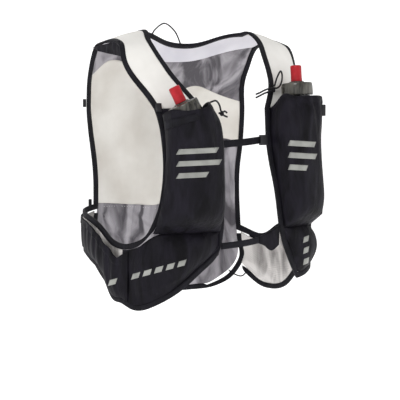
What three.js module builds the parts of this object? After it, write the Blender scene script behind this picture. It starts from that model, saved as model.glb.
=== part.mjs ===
// A running hydration vest, as it keeps its form on a wearer: millimetres, +Z up, the front faces -Y and
// the wearer's left is +X. The origin lies between the shoulders, level with the top of the straps.
import * as THREE from "three";

// Overall sizes: what the vest wraps
const VEST_HEIGHT = 404;
const CHEST_HALF_WIDTH = 165;
const FRONT_DEPTH = 114;
const BACK_DEPTH = 108;
const SHOULDER_FALL = 29;
const RIDGE_REACH = 24;

// Cloth and trim
const CLOTH = 1.6;
const MESH_CLOTH = 1.2;
const BINDING_WIDTH = 6.6;
const BINDING_THICKNESS = 2.6;
const SEAM_GAP = 0.5;
const LAYER_GAP = 0.4;
const HEM_CORNER_EASE = 2.5;

// Pockets
const FLASK_POCKET_PROUD = 37;
const FLASK_POCKET_FLARE = 15;
const FLASK_POCKET_LEAN = 17;
const REAR_POCKET_PROUD = 16;
const SIDE_POCKET_PROUD = 9;
const SIDE_POCKET_GATHER = 1.1;
const LOWER_FRONT_PROUD = 12;
const SIDE_PLEATS = 7;
const SIDE_SEAM_ANGLE = -25;
const SEAM_ANGLE_GAP = 0.3;
const SIDE_POCKET_FRONT_ANGLE = -30;
const ARMHOLE_ANGLE = -41.5;
const MEDIAL_TAPE_ANGLE = 2.6;

// Flasks, their caps and valves
const FLASK_HALF_WIDTH = 27.5;
const FLASK_HALF_THICKNESS = 15;
const FLASK_LENGTH = 124;
const FLASK_CLEARANCE = 2.4;
const FLASK_SHARE = 0.42;
const FLASK_SIDES = 14;
const CAP_RADIUS = 24;
const CAP_HEIGHT = 19.4;
const CAP_RIBS = 14;
const CAP_RIB_DEPTH = 0.9;
const COLLAR_RADIUS = 11;
const COLLAR_HEIGHT = 1.2;
const STEM_RADIUS = 4;
const STEM_HEIGHT = 15;
const STEM_CLEARANCE = 0.35;
const VALVE_RADIUS = 8.7;
const VALVE_HEIGHT = 24;
const CAP_CLEARANCE = 1.2;

// Chest straps, tabs and cords
const CHEST_STRAP_WIDTH = 10;
const CHEST_STRAP_THICKNESS = 1.6;
const LOWER_STRAP_WIDTH = 9;
const UPPER_STRAP_DROP = 0.413;
const UPPER_STRAP_RISE = 0.011;
const UPPER_STRAP_BOW = 5;
const LOWER_STRAP_DROP = 0.776;
const LOWER_STRAP_BOW = 6;
const SLIDER_WIDTH = 14;
const SLIDER_HEIGHT = 15;
const SLIDER_THICKNESS = 5;
const CORD_DIAMETER = 2.6;
const LOOP_CORD_DIAMETER = 2.2;
const CORD_STEP = 1.6;
const KNOT_RADIUS = 4.6;
const TAB_THICKNESS = 2.4;

const SIDES = [
  { name: "right", sign: -1 },
  { name: "left", sign: 1 },
];

// Rows of numbers under named columns, as a list of objects
function table(columns, rows) {
  const names = columns.split(" ");
  return rows.map((row) => Object.fromEntries(names.map((name, i) => [name, row[i]])));
}

// The profile that the cloth follows, from the front hem over the shoulder to the back hem.
// drop is a share of VEST_HEIGHT, depth a share of FRONT_DEPTH (minus) or BACK_DEPTH,
// square says how squarely the section turns into the side.
const PROFILE = table("drop depth square", [
  [1.0, -0.947, 4.2],
  [0.79, -0.982, 4.2],
  [0.644, -1.0, 4.2],
  [0.495, -0.991, 4.2],
  [0.347, -0.921, 3.8],
  [0.223, -0.754, 3.4],
  [0.124, -0.544, 3.6],
  [0.05, -0.298, 5.0],
  [0.004, -0.07, 6.0],
  [0.004, 0.09, 8.0],
  [0.05, 0.398, 7.0],
  [0.124, 0.648, 5.0],
  [0.223, 0.87, 4.2],
  [0.347, 0.991, 4.0],
  [0.495, 1.0, 4.0],
  [0.644, 0.981, 4.0],
  [0.79, 0.944, 4.0],
  [1.0, 0.907, 4.0],
]);

// Outer edges of the back, shares of CHEST_HALF_WIDTH for each side of the wearer
const BACK_EDGE = table("drop right left", [
  [0.0, 0.909, 0.895],
  [0.09, 0.909, 0.88],
  [0.134, 0.903, 0.88],
  [0.19, 0.885, 0.872],
  [0.245, 0.855, 0.885],
  [0.297, 0.83, 0.9],
  [0.354, 0.788, 0.903],
  [0.446, 0.745, 0.895],
  [0.532, 0.722, 0.873],
  [0.614, 0.722, 0.867],
  [0.7, 0.735, 0.868],
  [0.8, 0.785, 0.874],
  [0.84, 0.78, 0.886],
  [0.875, 0.735, 0.893],
  [0.905, 0.68, 0.874],
  [0.94, 0.62, 0.828],
  [0.97, 0.55, 0.758],
  [0.99, 0.47, 0.65],
  [1.0, 0.4, 0.52],
]);

// Neckline on the back, from the spine outwards
const NECKLINE = table("across right left", [
  [0.0, 0.053, 0.053],
  [0.13, 0.047, 0.054],
  [0.25, 0.034, 0.047],
  [0.33, 0.024, 0.033],
  [0.42, 0.014, 0.018],
  [0.5, 0.008, 0.01],
  [0.58, 0.006, 0.006],
]);

// Seams across the back: across runs from the right edge (0) to the left edge (1)
const BACK_SEAMS = table("across yoke panelTop panelBottom", [
  [0.0, 0.06, 0.165, 0.645],
  [0.12, 0.078, 0.104, 0.65],
  [0.3, 0.11, 0.15, 0.66],
  [0.46, 0.117, 0.185, 0.664],
  [0.6, 0.116, 0.222, 0.62],
  [0.66, 0.112, 0.23, 0.56],
  [0.7, 0.107, 0.2, 0.51],
  [0.8, 0.086, 0.222, 0.43],
  [0.9, 0.068, 0.248, 0.412],
  [1.0, 0.058, 0.27, 0.43],
]);

// Front edges of the straps and front panels: inner towards the breastbone, outer at the armhole
const FRONT_EDGE = table("drop rightInner rightOuter leftInner leftOuter", [
  [0.0, 0.558, 0.909, 0.558, 0.895],
  [0.04, 0.62, 0.925, 0.56, 0.905],
  [0.09, 0.618, 0.945, 0.515, 0.925],
  [0.136, 0.582, 0.94, 0.495, 0.92],
  [0.176, 0.539, 0.91, 0.48, 0.9],
  [0.21, 0.485, 0.872, 0.46, 0.868],
  [0.245, 0.42, 0.825, 0.41, 0.825],
  [0.287, 0.345, 0.788, 0.345, 0.79],
  [0.33, 0.275, 0.775, 0.325, 0.778],
  [0.4, 0.222, 0.77, 0.3, 0.772],
  [0.49, 0.21, 0.772, 0.32, 0.775],
  [0.565, 0.205, 0.788, 0.362, 0.79],
  [0.64, 0.2, 0.818, 0.395, 0.82],
  [0.7, 0.197, 0.87, 0.42, 0.87],
  [0.73, 0.195, 0.9, 0.435, 0.9],
]);

// The band under the arm: angle 0 faces sideways, -90 is the breastbone and +90 the spine.
// top and bottom are drops.
const RIGHT_SIDE = table("angle top bottom", [
  [-79.5, 0.722, 0.79],
  [-73, 0.722, 0.83],
  [-66.5, 0.722, 0.866],
  [-58.5, 0.722, 0.92],
  [-50, 0.722, 0.96],
  [-41.5, 0.73, 0.988],
  [-36, 0.752, 0.994],
  [-30, 0.762, 0.982],
  [-25, 0.764, 0.968],
  [-19, 0.76, 0.97],
  [-11, 0.748, 0.952],
  [-5, 0.728, 0.905],
  [2, 0.708, 0.872],
  [10, 0.692, 0.852],
  [18, 0.681, 0.838],
  [27, 0.672, 0.818],
  [37, 0.664, 0.808],
  [46, 0.656, 0.806],
  [51.5, 0.65, 0.81],
]);
const LEFT_SIDE = table("angle top bottom", [
  [-67, 0.722, 0.745],
  [-64.8, 0.722, 0.778],
  [-62, 0.722, 0.812],
  [-60, 0.722, 0.85],
  [-58.5, 0.722, 0.885],
  [-56, 0.722, 0.912],
  [-50, 0.722, 0.908],
  [-46, 0.724, 0.896],
  [-41.5, 0.73, 0.886],
  [-36, 0.742, 0.882],
  [-30, 0.748, 0.884],
  [-25, 0.75, 0.892],
  [-19, 0.748, 0.912],
  [-11, 0.742, 0.95],
  [-5, 0.736, 0.973],
  [2, 0.736, 0.988],
  [10, 0.75, 0.996],
  [18, 0.774, 0.998],
  [25, 0.788, 0.996],
  [31, 0.79, 0.986],
  [35, 0.782, 0.972],
  [38.5, 0.77, 0.955],
  [41.5, 0.758, 0.935],
]);

// Flask pocket from its rim (0) to its bottom seam (1)
const POCKET_FORM = table("down proud flare lean square", [
  [0.0, 1.48, 0.8, 1.0, 2.5],
  [0.08, 1.46, 0.95, 0.8, 2.5],
  [0.16, 1.35, 1.0, 0.5, 2.6],
  [0.26, 1.12, 1.0, 0.25, 2.8],
  [0.5, 1.0, 1.0, 0.0, 3.0],
  [0.8, 0.95, 0.95, 0.0, 3.0],
  [0.92, 0.74, 0.7, 0.0, 2.8],
  [0.975, 0.4, 0.35, 0.0, 2.6],
  [1.0, 0.03, 0.0, 0.0, 2.4],
]);
// Drop of the flask pockets' rims, from the armhole side (0) to the breastbone side (1)
const POCKET_RIM = table("across right left", [
  [0.0, 0.312, 0.285],
  [0.2, 0.302, 0.262],
  [0.4, 0.295, 0.246],
  [0.6, 0.282, 0.246],
  [0.8, 0.264, 0.256],
  [0.92, 0.272, 0.272],
  [1.0, 0.3, 0.292],
]);
const POCKET_BOTTOM = 0.7195;

// Flask body from its base (0) to the neck (1): shares of its half width and half thickness
const FLASK_FORM = table("along width thickness", [
  [0.0, 0.55, 0.45],
  [0.03, 0.82, 0.8],
  [0.1, 0.97, 1.0],
  [0.5, 1.0, 1.0],
  [0.72, 0.98, 1.1],
  [0.86, 0.84, 1.25],
  [0.94, 0.64, 1.3],
  [1.0, 0.515, 1.214],
]);

// Where each flask's cap sits on its strap and how far it leans, per unit of its rise
const FLASK_SEATS = {
  right: { across: 0.59, drop: 0.328, leanOut: 0.42, leanBack: 0.24 },
  left: { across: 0.6, drop: 0.268, leanOut: 0.0, leanBack: 0.1 },
};

// Smooth value of one column of a table, where the key column takes the value at
function smooth(rows, key, column, at) {
  const last = rows.length - 1;
  if (at <= rows[0][key]) return rows[0][column];
  if (at >= rows[last][key]) return rows[last][column];
  let i = 0;
  while (rows[i + 1][key] < at) i += 1;
  const slope = (k) => {
    const before = rows[Math.max(0, k - 1)];
    const after = rows[Math.min(last, k + 1)];
    return (after[column] - before[column]) / (after[key] - before[key]);
  };
  const span = rows[i + 1][key] - rows[i][key];
  const t = (at - rows[i][key]) / span;
  const rise = t * t * (3 - 2 * t);
  const from = rows[i][column] + slope(i) * span * (t - 2 * t * t + t * t * t);
  return from + (rows[i + 1][column] - rows[i][column]) * rise + slope(i + 1) * span * (t * t * t - t * t);
}

function spaced(from, to, count) {
  return Array.from({ length: count }, (_, i) => from + ((to - from) * i) / (count - 1));
}

function ease(t) {
  const x = Math.min(1, Math.max(0, t));
  return x * x * (3 - 2 * x);
}

// The body surface

const profile = new THREE.CatmullRomCurve3(
  PROFILE.map(({ drop, depth, square }) => {
    const reach = depth < 0 ? FRONT_DEPTH : BACK_DEPTH;
    return new THREE.Vector3(square, depth * reach, -drop * VEST_HEIGHT);
  }),
  false,
  "centripetal",
);

function dropAt(run) {
  return -profile.getPoint(run).z / VEST_HEIGHT;
}

// Place on the profile, 0 at the front hem and 1 at the back hem, of a drop on one face
function runAt(face, drop) {
  let high = 0.5;
  let low = face === "front" ? 0 : 1;
  for (let i = 0; i < 26; i += 1) {
    const middle = (high + low) / 2;
    if (dropAt(middle) < drop) high = middle;
    else low = middle;
  }
  return (high + low) / 2;
}

function bodyPoint(across, run) {
  const p = profile.getPoint(Math.min(1, Math.max(0, run)));
  const inward = Math.pow(1 - Math.pow(Math.abs(across), p.x), 1 / p.x);
  const nearRidge = Math.max(0, 1 + p.z / RIDGE_REACH);
  const fall = SHOULDER_FALL * Math.pow(across, 4) * nearRidge;
  return new THREE.Vector3(across * CHEST_HALF_WIDTH, p.y * inward, p.z - fall);
}

function sidePoint(sign, angle, drop) {
  const p = profile.getPoint(runAt(angle < 0 ? "front" : "back", drop));
  const turn = THREE.MathUtils.degToRad(angle);
  const c = Math.cos(turn);
  const s = Math.abs(Math.sin(turn));
  const reach = Math.pow(Math.pow(c, p.x) + Math.pow(s, p.x), -1 / p.x);
  return new THREE.Vector3(sign * CHEST_HALF_WIDTH * c * reach, p.y * s * reach, p.z);
}

// A place on the cloth: its point and the direction away from the body
function onBody(across, run, lift = 0) {
  const step = 1e-3;
  const sideways = bodyPoint(across + step, run).sub(bodyPoint(across - step, run));
  const along = bodyPoint(across, run + step).sub(bodyPoint(across, run - step));
  const normal = sideways.cross(along).normalize();
  return { point: bodyPoint(across, run).addScaledVector(normal, lift), normal };
}

function onSide(sign, angle, drop, lift = 0) {
  const turn = 0.2;
  const fall = 1e-3;
  const round = sidePoint(sign, angle + turn, drop).sub(sidePoint(sign, angle - turn, drop));
  const down = sidePoint(sign, angle, drop + fall).sub(sidePoint(sign, angle, drop - fall));
  const normal = down.cross(round).multiplyScalar(sign).normalize();
  return { point: sidePoint(sign, angle, drop).addScaledVector(normal, lift), normal };
}

// Angle under the arm of a place given by its share across the front or back
function angleOf(face, across, drop) {
  const square = profile.getPoint(runAt(face, drop)).x;
  const away = Math.pow(1 - Math.pow(across, square), 1 / square);
  const angle = THREE.MathUtils.radToDeg(Math.atan2(away, across));
  return face === "front" ? -angle : angle;
}

function backEdge(side, run) {
  return side.sign * smooth(BACK_EDGE, "drop", side.name, dropAt(run));
}

function frontEdge(side, which, run) {
  return side.sign * smooth(FRONT_EDGE, "drop", side.name + which, dropAt(run));
}

// Share across by which an edge moves inwards for a distance measured square to it
function insetAt(edge, run, distance) {
  const step = 2e-3;
  const along = bodyPoint(edge(run + step), run + step).sub(bodyPoint(edge(run - step), run - step));
  const sideways = bodyPoint(edge(run) + step, run).sub(bodyPoint(edge(run) - step, run));
  const perShare = sideways.length() / (2 * step);
  const sine = sideways.normalize().cross(along.normalize()).length();
  return distance / (perShare * Math.max(sine, 0.35));
}

// Closed solids

function closedGeometry(points, faces) {
  let volume = 0;
  for (const [a, b, c] of faces) volume += points[a].dot(points[b].clone().cross(points[c]));
  const ordered = volume > 0 ? faces : faces.map(([a, b, c]) => [a, c, b]);
  const geometry = new THREE.BufferGeometry();
  geometry.setAttribute("position", new THREE.Float32BufferAttribute(points.flatMap((p) => p.toArray()), 3));
  geometry.setIndex(ordered.flat());
  geometry.computeVertexNormals();
  return geometry;
}

// Rings of equal length joined one to the next; the ends are flat caps, or the last ring meets the first
function lofted(rings, isLoop = false) {
  const count = rings[0].length;
  const points = rings.flat();
  const faces = [];
  const last = isLoop ? rings.length : rings.length - 1;
  for (let i = 0; i < last; i += 1) {
    const next = (i + 1) % rings.length;
    for (let j = 0; j < count; j += 1) {
      const k = (j + 1) % count;
      const corners = [i * count + j, i * count + k, next * count + k, next * count + j];
      faces.push([corners[0], corners[1], corners[2]], [corners[0], corners[2], corners[3]]);
    }
  }
  if (!isLoop) {
    const end = (rings.length - 1) * count;
    for (let j = 1; j < count - 1; j += 1) {
      faces.push([0, j + 1, j], [end, end + j, end + j + 1]);
    }
  }
  return closedGeometry(points, faces);
}

// A wall of cloth: place(down, across) gives its middle surface, both running from 0 to 1
function sheet(place, rows, columns, thickness) {
  const points = [];
  const faces = [];
  for (let i = 0; i <= rows; i += 1) {
    for (let j = 0; j <= columns; j += 1) {
      const { point, normal } = place(i / rows, j / columns);
      points.push(point.clone().addScaledVector(normal, thickness / 2));
      points.push(point.clone().addScaledVector(normal, -thickness / 2));
    }
  }
  const at = (i, j, inner) => 2 * (i * (columns + 1) + j) + inner;
  const quad = (a, b, c, d) => faces.push([a, b, c], [a, c, d]);
  for (let i = 0; i < rows; i += 1) {
    for (let j = 0; j < columns; j += 1) {
      quad(at(i, j, 0), at(i + 1, j, 0), at(i + 1, j + 1, 0), at(i, j + 1, 0));
      quad(at(i, j, 1), at(i, j + 1, 1), at(i + 1, j + 1, 1), at(i + 1, j, 1));
    }
    quad(at(i, 0, 0), at(i, 0, 1), at(i + 1, 0, 1), at(i + 1, 0, 0));
    quad(at(i, columns, 0), at(i + 1, columns, 0), at(i + 1, columns, 1), at(i, columns, 1));
  }
  for (let j = 0; j < columns; j += 1) {
    quad(at(0, j, 0), at(0, j + 1, 0), at(0, j + 1, 1), at(0, j, 1));
    quad(at(rows, j, 0), at(rows, j, 1), at(rows, j + 1, 1), at(rows, j + 1, 0));
  }
  return closedGeometry(points, faces);
}

// The same wall where place gives only points: the direction out of it is measured
function bulgedSheet(pointAt, outward, rows, columns, thickness) {
  const place = (down, across) => {
    const step = 1e-3;
    const a = Math.min(1 - step, Math.max(step, down));
    const b = Math.min(1 - step, Math.max(step, across));
    const fall = pointAt(a + step, b).sub(pointAt(a - step, b));
    const side = pointAt(a, b + step).sub(pointAt(a, b - step));
    const normal = fall.cross(side).normalize();
    const point = pointAt(down, across);
    if (normal.dot(outward(down, across)) < 0) normal.negate();
    return { point, normal };
  };
  return sheet(place, rows, columns, thickness);
}

// Edge tape along frames that each give the edge, the tape's inner line and the direction off the body
function tape(frames, isLoop = false) {
  const half = BINDING_THICKNESS / 2;
  const rings = frames.map(({ edge, inner, normal }) => [
    edge.clone().addScaledVector(normal, half),
    inner.clone().addScaledVector(normal, half),
    inner.clone().addScaledVector(normal, -half),
    edge.clone().addScaledVector(normal, -half),
  ]);
  return lofted(rings, isLoop);
}

// A body turned about +Z: rows of radius and height that start and end on the axis, ribbed where asked
function turned(rows, sides) {
  const points = [new THREE.Vector3(0, 0, rows[0].height)];
  const rings = rows.slice(1, -1);
  for (const { radius, height, ribbed } of rings) {
    for (let k = 0; k < sides; k += 1) {
      const angle = (k / sides) * 2 * Math.PI;
      const r = radius - (ribbed && k % 2 ? CAP_RIB_DEPTH : 0);
      points.push(new THREE.Vector3(r * Math.cos(angle), r * Math.sin(angle), height));
    }
  }
  points.push(new THREE.Vector3(0, 0, rows[rows.length - 1].height));
  const top = points.length - 1;
  const faces = [];
  for (let k = 0; k < sides; k += 1) {
    const n = (k + 1) % sides;
    faces.push([0, 1 + n, 1 + k], [top, top - sides + k, top - sides + n]);
    for (let i = 0; i < rings.length - 1; i += 1) {
      const a = 1 + i * sides;
      faces.push([a + k, a + n, a + sides + n], [a + k, a + sides + n, a + sides + k]);
    }
  }
  return closedGeometry(points, faces);
}

// A round cord along hand-placed points
function cordGeometry(points, diameter) {
  const sides = 8;
  const section = new THREE.Shape();
  for (let k = 0; k < sides; k += 1) {
    const angle = (k / sides) * 2 * Math.PI;
    const x = (diameter / 2) * Math.cos(angle);
    const y = (diameter / 2) * Math.sin(angle);
    if (k) section.lineTo(x, y);
    else section.moveTo(x, y);
  }
  section.closePath();
  const route = new THREE.CatmullRomCurve3(points);
  const steps = Math.min(80, Math.max(3, Math.round(route.getLength() / (CORD_STEP * diameter))));
  const options = { steps, extrudePath: route, curveSegments: 1, bevelEnabled: false };
  return new THREE.ExtrudeGeometry(section, options);
}

// Materials

function material(color, roughness, metalness = 0) {
  return new THREE.MeshStandardMaterial({ color, roughness, metalness });
}

const finish = {
  yoke: () => material(0xe6e4ea, 0.8),
  strap: () => material(0xdad8d2, 0.8),
  panel: () => material(0xd9d5cd, 0.75),
  mesh: () => material(0x77747a, 0.7),
  sideMesh: () => material(0xa9a5a4, 0.7),
  black: () => material(0x1f1d25, 0.65),
  binding: () => material(0x1b1a21, 0.6),
  flask: () => material(0x3a3b3f, 0.3),
  cap: () => material(0x34342f, 0.45),
  valve: () => material(0xb3202e, 0.45),
  plastic: () => material(0x17161b, 0.4),
  cord: () => material(0x141318, 0.7),
};

const vest = new THREE.Group();

function addPiece(name, geometry, surface) {
  const mesh = new THREE.Mesh(geometry, surface);
  mesh.name = name;
  vest.add(mesh);
  return mesh;
}

const TAPE_INSET = BINDING_WIDTH + SEAM_GAP;
const shareOfHeight = (length) => length / VEST_HEIGHT;

// Back: yoke, upper mesh, main panel and lower mesh, between the two back edges

function backAcross(run, share) {
  const inset = TAPE_INSET + HEM_CORNER_EASE * ease((dropAt(run) - 0.8) / 0.1);
  const [right, left] = SIDES.map((side) => {
    const edge = (at) => backEdge(side, at);
    return edge(run) - side.sign * insetAt(edge, run, inset);
  });
  return right + (left - right) * share;
}

function seamDrop(share, seam) {
  return smooth(BACK_SEAMS, "across", seam, share);
}

function necklineDrop(across) {
  return smooth(NECKLINE, "across", across < 0 ? "right" : "left", Math.abs(across));
}

const BACK_COLUMNS = 16;

function backPanel(topAt, bottomAt, rows, thickness) {
  const place = (down, share) => {
    const top = topAt(share);
    const drop = top + (bottomAt(share) - top) * down;
    const run = runAt("back", drop);
    return onBody(backAcross(run, share), run);
  };
  return sheet(place, rows, BACK_COLUMNS, thickness);
}

// The run that lies a distance further along the surface, towards the hem of the back
function runBeyond(across, run, distance) {
  const step = 1e-3;
  const along = bodyPoint(across, run + step).sub(bodyPoint(across, run - step));
  return run + (distance * 2 * step) / along.length();
}

const seamGap = shareOfHeight(SEAM_GAP);
const hemDrop = 1 - shareOfHeight(TAPE_INSET + SEAM_GAP);
const NECK_CORNER = 0.612;
const CORNER_STEP = 0.008;
const ridgeRun = runAt("back", NECKLINE[NECKLINE.length - 1].right);

// The yoke's columns step from the shoulder seam to the neckline at the corners of the neck
const YOKE_STATIONS = [
  backAcross(ridgeRun, 0),
  ...[-0.78, -0.69, -NECK_CORNER - CORNER_STEP, -NECK_CORNER],
  ...spaced(-0.54, 0.54, 13),
  ...[NECK_CORNER, NECK_CORNER + CORNER_STEP, 0.69, 0.78],
  backAcross(ridgeRun, 1),
];

function yokeTopRun(across) {
  if (Math.abs(across) > NECK_CORNER) return runBeyond(across, ridgeRun, SEAM_GAP);
  return runBeyond(across, runAt("back", necklineDrop(across)), TAPE_INSET);
}

function yokePlace(down, column) {
  const across = YOKE_STATIONS[Math.round(column * (YOKE_STATIONS.length - 1))];
  const topRun = yokeTopRun(across);
  const [right, left] = [0, 1].map((end) => backAcross(topRun, end));
  const share = (across - right) / (left - right);
  const top = dropAt(topRun);
  const run = down ? runAt("back", top + (seamDrop(share, "yoke") - top) * down) : topRun;
  return onBody(backAcross(run, share), run);
}

const upperTop = (share) => seamDrop(share, "yoke") + seamGap * 2;
const upperBottom = (share) => seamDrop(share, "panelTop");
const panelTop = (share) => seamDrop(share, "panelTop") + seamGap;
const panelBottom = (share) => seamDrop(share, "panelBottom");
const lowerTop = (share) => seamDrop(share, "panelBottom") + seamGap;

addPiece("yoke", sheet(yokePlace, 4, YOKE_STATIONS.length - 1, CLOTH), finish.yoke());
addPiece("back_mesh_upper", backPanel(upperTop, upperBottom, 5, MESH_CLOTH), finish.mesh());
addPiece("back_panel", backPanel(panelTop, panelBottom, 9, CLOTH), finish.panel());
addPiece("back_mesh_lower", backPanel(lowerTop, () => hemDrop, 10, MESH_CLOTH), finish.mesh());

// Rear stow pocket: a stretch panel over the lower back, open along its top
const REAR_POCKET = { top: 0.52, bottom: 0.87, right: 0.06, left: 0.93 };
const rearPocketPoint = (down, across) => {
  const drop = REAR_POCKET.top + (REAR_POCKET.bottom - REAR_POCKET.top) * down;
  const run = runAt("back", drop);
  const share = REAR_POCKET.right + (REAR_POCKET.left - REAR_POCKET.right) * across;
  const arch = Math.pow(1 - Math.pow(Math.abs(2 * across - 1), 3), 0.7);
  const belly = 0.55 + 0.45 * Math.sin(Math.PI * Math.min(1, down + 0.25));
  const swell = Math.pow(1 - Math.pow(down, 5), 0.8) * belly;
  const clear = CLOTH + LAYER_GAP;
  return onBody(backAcross(run, share), run, clear + REAR_POCKET_PROUD * arch * swell).point;
};
addPiece(
  "rear_pocket",
  bulgedSheet(rearPocketPoint, () => new THREE.Vector3(0, 1, 0), 7, 12, CLOTH),
  finish.black(),
);

// Straps over the shoulders and the panels that carry the flask pockets

function frontAcross(side, run, share) {
  const outer = (at) => frontEdge(side, "Outer", at);
  const inner = (at) => frontEdge(side, "Inner", at);
  const from = outer(run) - side.sign * insetAt(outer, run, TAPE_INSET);
  const to = inner(run) + side.sign * insetAt(inner, run, TAPE_INSET);
  return from + (to - from) * share;
}

const STRAP_END_DROP = 0.285;
const FRONT_PANEL_END_DROP = 0.7205;

// Stations down each front, which the cloth and its edge tape share
const strapRuns = spaced(ridgeRun, runAt("front", STRAP_END_DROP), 13);
const panelRuns = spaced(runAt("front", STRAP_END_DROP + seamGap), runAt("front", FRONT_PANEL_END_DROP), 11);

function frontSheet(side, runs, columns) {
  const place = (down, share) => {
    const run = runs[Math.round(down * (runs.length - 1))];
    return onBody(frontAcross(side, run, share), run);
  };
  return sheet(place, runs.length - 1, columns, CLOTH);
}

for (const side of SIDES) {
  addPiece("shoulder_strap_" + side.name, frontSheet(side, strapRuns, 5), finish.strap());
  addPiece("front_panel_" + side.name, frontSheet(side, panelRuns, 5), finish.black());
}

// Flask pockets: stretch cloth that swells off the front panel and stays open at its rim

function pocketPoint(side, down, across) {
  const rim = smooth(POCKET_RIM, "across", side.name, across);
  const drop = rim + (POCKET_BOTTOM - rim) * down;
  const run = runAt("front", drop);
  const square = smooth(POCKET_FORM, "down", "square", down);
  const proud = FLASK_POCKET_PROUD * smooth(POCKET_FORM, "down", "proud", down);
  const flare = FLASK_POCKET_FLARE * smooth(POCKET_FORM, "down", "flare", down);
  const lean = FLASK_POCKET_LEAN * smooth(POCKET_FORM, "down", "lean", down);
  const turn = Math.PI * across;
  const width = Math.sign(Math.cos(turn)) * Math.pow(Math.abs(Math.cos(turn)), 2 / square);
  const height = Math.pow(Math.abs(Math.sin(turn)), 2 / square);
  const share = 0.5 - 0.49 * width;
  const seat = onBody(frontAcross(side, run, share), run);
  const outer = bodyPoint(frontAcross(side, run, 0), run);
  const inner = bodyPoint(frontAcross(side, run, 1), run);
  const chord = outer.sub(inner).setZ(0).normalize();
  const off = new THREE.Vector3(-chord.y, chord.x, 0).multiplyScalar(-side.sign);
  const foot = CLOTH + LAYER_GAP;
  return seat.point
    .addScaledVector(seat.normal, foot)
    .addScaledVector(off, proud * height)
    .addScaledVector(chord, flare * ease(height * 2.2) * Math.max(0, width))
    .addScaledVector(chord, lean * ease(height * 1.4) * Math.min(0, width));
}

for (const side of SIDES) {
  const point = (down, across) => pocketPoint(side, down, across);
  const outward = (down, across) => {
    const turn = Math.PI * across;
    return new THREE.Vector3(side.sign * Math.cos(turn), -Math.sin(turn) - 0.3, 0);
  };
  addPiece("flask_pocket_" + side.name, bulgedSheet(point, outward, 11, 14, CLOTH), finish.black());
}

// Flasks in the pockets, each with a ribbed screw cap and a soft bite valve

function flaskFrame(side) {
  const seat = FLASK_SEATS[side.name];
  const run = runAt("front", seat.drop);
  const place = onBody(side.sign * seat.across, run, CLOTH / 2 + CAP_CLEARANCE + CAP_RADIUS);
  const axis = new THREE.Vector3(side.sign * seat.leanOut, seat.leanBack, 1).normalize();
  const turn = new THREE.Quaternion().setFromUnitVectors(new THREE.Vector3(0, 0, 1), axis);
  return { base: place.point, axis, turn };
}

function flaskGeometry(side) {
  const { base, axis, turn } = flaskFrame(side);
  const neck = base.clone().addScaledVector(axis, -LAYER_GAP * 2);
  const capWidth = new THREE.Vector3(1, 0, 0).applyQuaternion(turn);
  const capDepth = new THREE.Vector3(0, 1, 0).applyQuaternion(turn);
  const rings = FLASK_FORM.map(({ along, width, thickness }) => {
    const run = runAt("front", (FLASK_LENGTH * (1 - along) - neck.z) / VEST_HEIGHT);
    const halfWidth = FLASK_HALF_WIDTH * width;
    const halfThickness = FLASK_HALF_THICKNESS * thickness;
    const lift = CLOTH / 2 + FLASK_CLEARANCE + halfThickness;
    const seat = onBody(frontAcross(side, run, FLASK_SHARE), run, lift);
    const toNeck = ease((along - 0.72) / 0.28);
    const centre = seat.point.lerp(neck, toNeck);
    const across = new THREE.Vector3(-seat.normal.y, seat.normal.x, 0).normalize().lerp(capWidth, toNeck);
    const away = new THREE.Vector3(-seat.normal.x, -seat.normal.y, 0).normalize().lerp(capDepth, toNeck);
    return Array.from({ length: FLASK_SIDES }, (_, k) => {
      const angle = (k / FLASK_SIDES) * 2 * Math.PI;
      return centre
        .clone()
        .addScaledVector(across, halfWidth * Math.cos(angle))
        .addScaledVector(away, halfThickness * Math.sin(angle));
    });
  });
  return lofted(rings);
}

const CAP_ROWS = table("radius height ribbed", [
  [0, 0, 0],
  [CAP_RADIUS - 1.4, 0, 0],
  [CAP_RADIUS, 0.8, 1],
  [CAP_RADIUS, CAP_HEIGHT - 3.4, 1],
  [CAP_RADIUS - 1.6, CAP_HEIGHT - 1.2, 0],
  [COLLAR_RADIUS, CAP_HEIGHT, 0],
  [COLLAR_RADIUS, CAP_HEIGHT + COLLAR_HEIGHT, 0],
  [STEM_RADIUS, CAP_HEIGHT + COLLAR_HEIGHT, 0],
  [STEM_RADIUS, CAP_HEIGHT + COLLAR_HEIGHT + STEM_HEIGHT, 0],
  [0, CAP_HEIGHT + COLLAR_HEIGHT + STEM_HEIGHT, 0],
]);
const BORE_RADIUS = STEM_RADIUS + STEM_CLEARANCE;
const BORE_HEIGHT = STEM_HEIGHT + STEM_CLEARANCE;
const VALVE_ROWS = table("radius height", [
  [0, BORE_HEIGHT],
  [BORE_RADIUS, BORE_HEIGHT],
  [BORE_RADIUS, 0],
  [VALVE_RADIUS, 0],
  [VALVE_RADIUS - 0.5, VALVE_HEIGHT * 0.45],
  [VALVE_RADIUS, VALVE_HEIGHT - 3],
  [VALVE_RADIUS - 0.7, VALVE_HEIGHT - 0.8],
  [VALVE_RADIUS - 2.6, VALVE_HEIGHT],
  [0, VALVE_HEIGHT],
]);

for (const side of SIDES) {
  const { base, axis, turn } = flaskFrame(side);
  addPiece("flask_" + side.name, flaskGeometry(side), finish.flask());
  const cap = addPiece("flask_cap_" + side.name, turned(CAP_ROWS, CAP_RIBS * 2), finish.cap());
  cap.position.copy(base);
  cap.quaternion.copy(turn);
  const valve = addPiece("bite_valve_" + side.name, turned(VALVE_ROWS, 14), finish.valve());
  valve.position.copy(base).addScaledVector(axis, CAP_HEIGHT + COLLAR_HEIGHT + STEM_CLEARANCE);
  valve.quaternion.copy(turn);
}

// Under the arms: a mesh wall, a gathered stretch pocket over it and the lower front panel

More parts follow.
